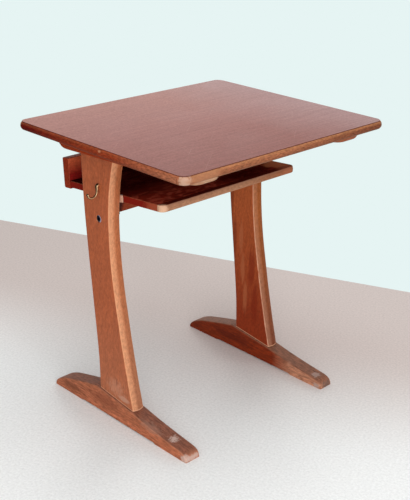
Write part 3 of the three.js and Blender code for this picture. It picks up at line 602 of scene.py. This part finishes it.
def varnishedBoard(name, look):
    # shelf board stained dark red under satin varnish, made almost black at the rear by painted shade, with brown
    # smears where books slide over it and painted reflections in the varnish, pale at its right end
    material, tree, shader, place = newMaterial(name)
    ways = addNode(tree, "SeparateXYZ", {0: place}).outputs
    cells = addNode(tree, "Mapping", {0: place, "Scale": patternScale(*look["streak"])}).outputs[0]
    streaks = addNode(tree, "TexNoise", {"Vector": cells, "Scale": 1, "Detail": 5, "Roughness": 0.6}).outputs[0]
    rear, front = look["shadeToFront"]   # painted shade, darkest at the rear under the worktop
    tone = addNode(tree, "MapRange", {0: ways[1], 1: rear * mm, 2: front * mm}).outputs[0]
    colour = addNode(tree, "Mix", {0: tone, 6: linearColour(look["far"]), 7: linearColour(look["near"])},
                     data_type="RGBA").outputs[2]
    fine = addNode(tree, "MapRange", {0: streaks, 1: noiseLow, 2: noiseHigh, 3: 0.7, 4: 1.3}).outputs[0]
    colour = addNode(tree, "VectorMath", {0: colour, 3: fine}, operation="SCALE").outputs[0]
    cells = addNode(tree, "Mapping", {
        0: place, "Rotation": (0, 0, math.radians(look["smearTurn"])),
        "Scale": patternScale(*look["smearSize"])}).outputs[0]
    smears = addNode(tree, "TexNoise", {"Vector": cells, "Scale": 1, "Detail": 4, "Distortion": 0.6}).outputs[0]
    smears = addNode(tree, "MapRange", {0: smears, 1: 0.45, 2: 0.68, 3: 0, 4: 0.6},
                     interpolation_type="SMOOTHSTEP").outputs[0]
    rear, front = look["smearsToFront"]
    nearer = addNode(tree, "MapRange", {0: ways[1], 1: rear * mm, 2: front * mm, 3: 0.1, 4: 1}).outputs[0]
    smears = addNode(tree, "Math", {0: smears, 1: nearer}, operation="MULTIPLY").outputs[0]
    colour = addNode(tree, "Mix", {0: smears, 6: colour, 7: linearColour(look["smear"])}, data_type="RGBA").outputs[2]
    colour = layMarks(tree, place, colour, look["marks"])
    normal = addNode(tree, "NewGeometry").outputs["Normal"]
    sideways = addNode(tree, "VectorMath", {0: normal, 1: (-1, 0, 0)}, operation="DOT_PRODUCT").outputs["Value"]
    sideways = addNode(tree, "MapRange", {0: sideways, 1: 0.4, 2: 0.9}).outputs[0]
    edge = layMarks(tree, place, linearColour(look["edge"]), look["edgeMarks"])
    colour = addNode(tree, "Mix", {0: sideways, 6: colour, 7: edge}, data_type="RGBA").outputs[2]
    patchy = addNode(tree, "MapRange", {0: streaks, 1: 0.4, 2: 0.6, 3: 0.1, 4: 0.65}).outputs[0]
    rubbedAndLit = addNode(tree, "Math", {0: arrisMask(tree), 1: patchy}, operation="MULTIPLY").outputs[0]
    colour = addNode(tree, "Mix", {0: rubbedAndLit, 6: colour, 7: linearColour(look["arris"])}, data_type="RGBA").outputs[2]
    tree.links.new(colour, shader.inputs["Base Color"])
    gloss = addNode(tree, "MapRange", {0: smears, 1: 0, 2: 0.45, 3: 0.45, 4: 0.65}).outputs[0]
    tree.links.new(gloss, shader.inputs["Roughness"])
    relief = addNode(tree, "Bump", {"Strength": 0.3, "Distance": 0.3 * mm, "Height": streaks}).outputs[0]
    tree.links.new(relief, shader.inputs["Normal"])
    shader.inputs["Specular IOR Level"].default_value = 0
    return material


board = smoothedCopy("shelf_board", "bookShelfBoard")
finishPiece(board, "dark_shelf_board", varnishedBoard("darkVarnishedBeech", shelf["board"]), "shelf_board")
lipping = smoothedCopy("shelf_lipping", "bookShelfEdging", angle=40)
finishPiece(lipping, "light_beech_edging", stainedBeech("beechShelfEdging", shelf["edging"]), "shelf_lipping")
panel = smoothedCopy("shelf_back_panel", "bookShelfPanel")
finishPiece(panel, "stained_beech", stainedBeech("beechPanel", shelf["panel"]), "shelf_back_panel")
rail = smoothedCopy("shelf_rail", "crossRail")
finishPiece(rail, "stained_beech", stainedBeech("beechRail", shelf["rail"]), "shelf_rail")
blockWood = stainedBeech("beechBlock", shelf["block"])
stripWood = stainedBeech("beechStrip", shelf["strip"])
for side in ("left", "right"):
    nodes[f"corner_block_{side}"].material_slots[0].material = blockWood
    nodes[f"shelf_spacer_{side}"].material_slots[0].material = stripWood
print("shelf and rail dressed")


def agedMetal(name, look):
    # metal gone dull with age: darker spots where it has tarnished, and where asked a painted highlight on one side
    material, tree, shader, place = newMaterial(name)
    spots = addNode(tree, "TexNoise", {
        "Vector": place, "Scale": 1 / (look["spot"] * mm), "Detail": 4, "Roughness": 0.6}).outputs[0]
    tone = addNode(tree, "MapRange", {0: spots, 1: 0.35, 2: 0.65}).outputs[0]
    colour = addNode(tree, "Mix", {0: tone, 6: linearColour(look["dark"]), 7: linearColour(look["light"])},
                     data_type="RGBA").outputs[2]
    if "rubbedAndLit" in look:   # a painted highlight on the side that faces the light
        if "hollow" in look:   # painted highlight, a crescent on the bolts' rims outside a circle set back from their middle
            wornAndLit = addNode(tree, "VectorMath", {0: place, 1: Vector(look["hollow"]) * mm},
                           operation="SUBTRACT").outputs[0]
            wornAndLit = addNode(tree, "VectorMath", {0: wornAndLit, 1: (0, 1, 1)}, operation="MULTIPLY").outputs[0]
            wornAndLit = addNode(tree, "VectorMath", {0: wornAndLit}, operation="LENGTH").outputs["Value"]
        else:
            wornAndLit = addNode(tree, "SeparateXYZ", {0: addNode(tree, "NewGeometry").outputs["Normal"]}).outputs[1]
        wornAndLit = addNode(tree, "MapRange", {0: wornAndLit, 1: look["highlightFrom"], 2: look["highlightTo"]}).outputs[0]
        colour = addNode(tree, "Mix", {0: wornAndLit, 6: colour, 7: linearColour(look["rubbedAndLit"])},
                         data_type="RGBA").outputs[2]
    tree.links.new(colour, shader.inputs["Base Color"])
    dull = addNode(tree, "MapRange", {0: spots, 3: look["roughness"] - 0.1, 4: look["roughness"] + 0.15}).outputs[0]
    tree.links.new(dull, shader.inputs["Roughness"])
    relief = addNode(tree, "Bump", {"Strength": 0.3, "Distance": 0.05 * mm, "Height": spots}).outputs[0]
    tree.links.new(relief, shader.inputs["Normal"])
    shader.inputs["Metallic"].default_value = 1
    return material


def turnedBlank(name, sides, radius, low, high):
    # a round bar standing on +Z, left in edit mode with its top face selected
    clearSelection()
    bpy.ops.mesh.primitive_cylinder_add(vertices=sides, radius=radius * mm, depth=(high - low) * mm,
                                        location=(0, 0, (high + low) / 2 * mm))
    piece = bpy.context.object
    piece.name = name
    bpy.ops.object.transform_apply(location=True, rotation=True, scale=True)
    selectFaces(piece, lambda face: face.normal.z > 0.9)
    return piece


def step(inset=0, rise=0, narrow=1):
    # insets, raises and narrows the selected face in mm and as a share, as a lathe or punch would
    if inset:
        bpy.ops.mesh.inset(thickness=inset * mm)
    if rise:
        bpy.ops.mesh.extrude_region_move(TRANSFORM_OT_translate={"value": (0, 0, rise * mm)})
    if narrow != 1:
        bpy.ops.transform.resize(value=(narrow, narrow, 1), center_override=(0, 0, 0))


def combine(piece, tool, operation="DIFFERENCE"):
    applyModifier(piece, "BOOLEAN", object=tool, operation=operation, solver="EXACT")
    bpy.data.objects.remove(tool)
    makeActive(piece)


fastening = {   # mm, but each tip and the flat are shares of their radius
    "steel": {"dark": "#65626B", "light": "#8C8893", "roughness": 0.38, "spot": 1.5},
    # the pale crescent on the bolts is a painted highlight
    "blued": {"dark": "#110D1C", "light": "#211C30", "roughness": 0.35, "spot": 1.2, "rubbedAndLit": "#C8BCD0",
              "hollow": (0, 76.2, 508), "highlightFrom": 6.8 * mm, "highlightTo": 9.2 * mm},   # a circle's middle and radii
    "boltHead": {"radius": 9, "height": 3, "dome": 1, "socket": 4.6, "socketDepth": 2.2, "flat": 0.58},
    "boltShank": {"radius": 4, "length": 57, "tip": 0.75},
    "washer": {"radius": 9, "hole": 4.1, "thickness": 1.6, "chamfer": 0.3},
    "nut": {"radius": 7.5, "hole": 4.1, "thickness": 6.5, "chamfer": 0.8},
    "screw": {"headRadius": 4.4, "headHeight": 2.8, "rim": 0.5, "shank": 2.2, "point": 4, "tip": 0.5,
              "slotWidth": 1.1, "slotDepth": 1.1},
}
steel = agedMetal("zincPlatedSteel", fastening["steel"])   # zinc-plated steel, grey with white and dark bloom
blued = agedMetal("bluedSteel", fastening["blued"])   # blued steel, nearly black, with a painted highlight on one side of its rim


def boltModel():
    # domed head with a hexagonal socket, its flat seat at z 0, shank below
    head, shank = fastening["boltHead"], fastening["boltShank"]
    piece = turnedBlank("boltModel", 48, head["radius"], 0, head["height"] - head["dome"])
    width = 1
    for turn in range(15, 76, 15):   # the dome rises in five steps to a flat round the socket
        angle, last = math.radians(turn), math.radians(turn - 15)
        wanted = 1 - (1 - head["flat"]) * (1 - math.cos(angle))
        step(rise=head["dome"] * (math.sin(angle) - math.sin(last)), narrow=wanted / width)
        width = wanted
    clearSelection()
    bpy.ops.mesh.primitive_cylinder_add(vertices=6, radius=head["socket"] * mm, depth=2 * head["socketDepth"] * mm,
                                        location=(0, 0, head["height"] * mm))
    combine(piece, bpy.context.object)
    selectFaces(piece, lambda face: face.normal.z < -0.9 and face.center.z < 0.1 * mm)
    step(inset=head["radius"] - shank["radius"])
    step(rise=1 - shank["length"])
    step(rise=-1, narrow=shank["tip"])
    bpy.ops.object.mode_set(mode="OBJECT")
    return piece


def ringModel(name, sides, look):
    # washer or nut: a bored blank with chamfered outer edges
    half = look["thickness"] / 2
    piece = turnedBlank(name, sides, look["radius"], -half, half)
    applyModifier(piece, "BEVEL", width=look["chamfer"] * mm, segments=2, limit_method="ANGLE",
                  angle_limit=math.radians(65))
    clearSelection()
    bpy.ops.mesh.primitive_cylinder_add(vertices=32, radius=look["hole"] * mm, depth=4 * look["thickness"] * mm)
    combine(piece, bpy.context.object)
    return piece


def screwModel():
    # countersunk slotted wood screw, its head's top at z 0; the shank is grown to each screw's length
    look = fastening["screw"]
    piece = turnedBlank("screwModel", 28, look["headRadius"], -look["rim"], 0)
    selectFaces(piece, lambda face: face.normal.z < -0.9)
    step(rise=look["rim"] - look["headHeight"], narrow=look["shank"] / look["headRadius"])
    clearSelection()
    slot = Vector((3 * look["headRadius"], look["slotWidth"], 2 * look["slotDepth"])) * mm
    bpy.ops.mesh.primitive_cube_add(size=1, location=(0, 0, 0), scale=slot)
    combine(piece, bpy.context.object)
    return piece


def placeCopy(piece, matrix):
    # the place goes into the copy's mesh
    bpy.ops.object.mode_set(mode="OBJECT")
    piece.data.transform(matrix)
    smoothEdges(35)


bolt = boltModel()
washer = ringModel("washerModel", 40, fastening["washer"])
nut = ringModel("nutModel", 6, fastening["nut"])
for side, outward in (("left", Vector((-1, 0, 0))), ("right", Vector((1, 0, 0)))):
    places = {}
    for part in ("rail_bolt", "bolt_washer", "bolt_nut"):
        low, high = (Vector(corner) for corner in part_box(f"{part}_{side}"))
        places[part] = (low + high) / 2
        if part == "rail_bolt":
            places[part].x = (low.x if side == "left" else high.x) - outward.x * fastening["boltHead"]["height"] * mm
    for part, model, name, metal in (("rail_bolt", bolt, "socketBolt", blued),
                                     ("bolt_washer", washer, "boltWasher", steel), ("bolt_nut", nut, "boltNut", steel)):
        piece = ownCopy(model.data, f"{name}_{side}")
        placeCopy(piece, standing(places[part], outward))
        finishPiece(piece, "darkened_steel", metal, f"{part}_{side}")
screw = screwModel()
underHead = min(vertex.co.z for vertex in screw.data.vertices) + 0.01 * mm
screwLook = fastening["screw"]
lean = math.radians(4.5)   # the shelf's tilt
screwSets = {
    "top_screw_": Vector((0, 0, -1)),
    "rail_screw_": Vector((0, 1, 0)),
    "shelf_screw_": Vector((0, -math.sin(lean), math.cos(lean))),
    "back_panel_screw_": Vector((0, math.cos(lean), math.sin(lean))),
}
for name in sorted(nodes):
    for prefix, outward in screwSets.items():
        if name.startswith(prefix):
            points = [vertex.co for vertex in nodes[name].data.vertices]
            reach = [point.dot(outward) for point in points]
            rim = [point for point, far in zip(points, reach) if far > max(reach) - 0.05 * mm]
            top = sum(rim, Vector()) / len(rim)
            length = (max(reach) - min(reach)) / mm
            piece = ownCopy(screw.data, "slotted_" + name)
            selectFaces(piece, lambda face: face.normal.z < -0.9 and face.center.z < underHead)
            step(rise=screwLook["headHeight"] + screwLook["point"] - length)
            step(rise=-screwLook["point"], narrow=screwLook["tip"])
            placeCopy(piece, standing(top, outward))
            finishPiece(piece, "darkened_steel", steel, name)
for model in (bolt, washer, nut, screw):
    bpy.data.objects.remove(model)
print("fastenings modelled")


bagHook = {   # mm, and the sweep in degrees
    "wire": 2.3, "stout": 3.9, "ball": 3, "top": 2.5, "shank": 16, "bend": 4, "drop": 10.5, "bow": 13.4, "sweep": 168,
    "brass": {"dark": "#2C1C10", "light": "#4A321C", "roughness": 0.4, "spot": 4,
              "rubbedAndLit": "#F0CFA0", "highlightFrom": -0.72, "highlightTo": -0.96},   # painted highlight on faces that look to the front
}


def bentHook(name, look, start):
    # round wire drawn out of the leg, bent down, and bent round to a ball tip, as on a former
    clearSelection()
    bpy.ops.mesh.primitive_circle_add(vertices=20, radius=look["stout"] * mm, fill_type="NGON", location=start,
                                      rotation=(0, math.radians(-90), 0))
    piece = bpy.context.object
    piece.name = name
    bpy.ops.object.transform_apply(location=True, rotation=True, scale=True)
    bpy.ops.object.mode_set(mode="EDIT")
    bpy.ops.mesh.select_mode(type="FACE")
    bpy.ops.mesh.select_all(action="SELECT")
    bpy.ops.mesh.extrude_region_move(TRANSFORM_OT_translate={"value": (-look["shank"] * mm, 0, 0)})
    corner = start + Vector((-look["shank"], 0, -look["bend"])) * mm
    bpy.ops.mesh.spin(steps=9, angle=math.radians(90), center=corner, axis=(0, 1, 0))
    bpy.ops.mesh.extrude_region_move(TRANSFORM_OT_translate={"value": (0, 0, -look["drop"] * mm)})
    narrow = look["wire"] / look["stout"]
    foot = corner + Vector((-look["bend"], 0, -look["drop"])) * mm
    bpy.ops.transform.resize(value=(narrow, narrow, 1), center_override=foot)
    middle = foot + Vector((-look["bow"], 0, 0)) * mm
    turn = math.radians(look["sweep"])
    bpy.ops.mesh.spin(steps=30, angle=-turn, center=middle, axis=(0, 1, 0))
    bpy.ops.mesh.select_all(action="SELECT")
    bpy.ops.mesh.remove_doubles(threshold=0.01 * mm)
    bpy.ops.mesh.normals_make_consistent(inside=False)
    tip = middle + Vector((look["bow"] * math.cos(turn), 0, -look["bow"] * math.sin(turn))) * mm
    clearSelection()
    bpy.ops.mesh.primitive_uv_sphere_add(segments=24, ring_count=14, radius=look["ball"] * mm, location=tip)
    ball = bpy.context.object
    bpy.ops.object.transform_apply(location=True, rotation=True, scale=True)
    combine(piece, ball, "UNION")
    smoothEdges(50)
    return piece


low, high = (Vector(corner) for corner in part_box("bag_hook"))
shankEnd = Vector((high.x, (low.y + high.y) / 2, high.z - bagHook["top"] * mm))
hook = bentHook("bagHook", bagHook, shankEnd)
brass = agedMetal("agedBrass", bagHook["brass"])   # brass gone brown, with a painted highlight on its front-facing side
finishPiece(hook, "brass", brass, "bag_hook")
print("bag hook modelled")
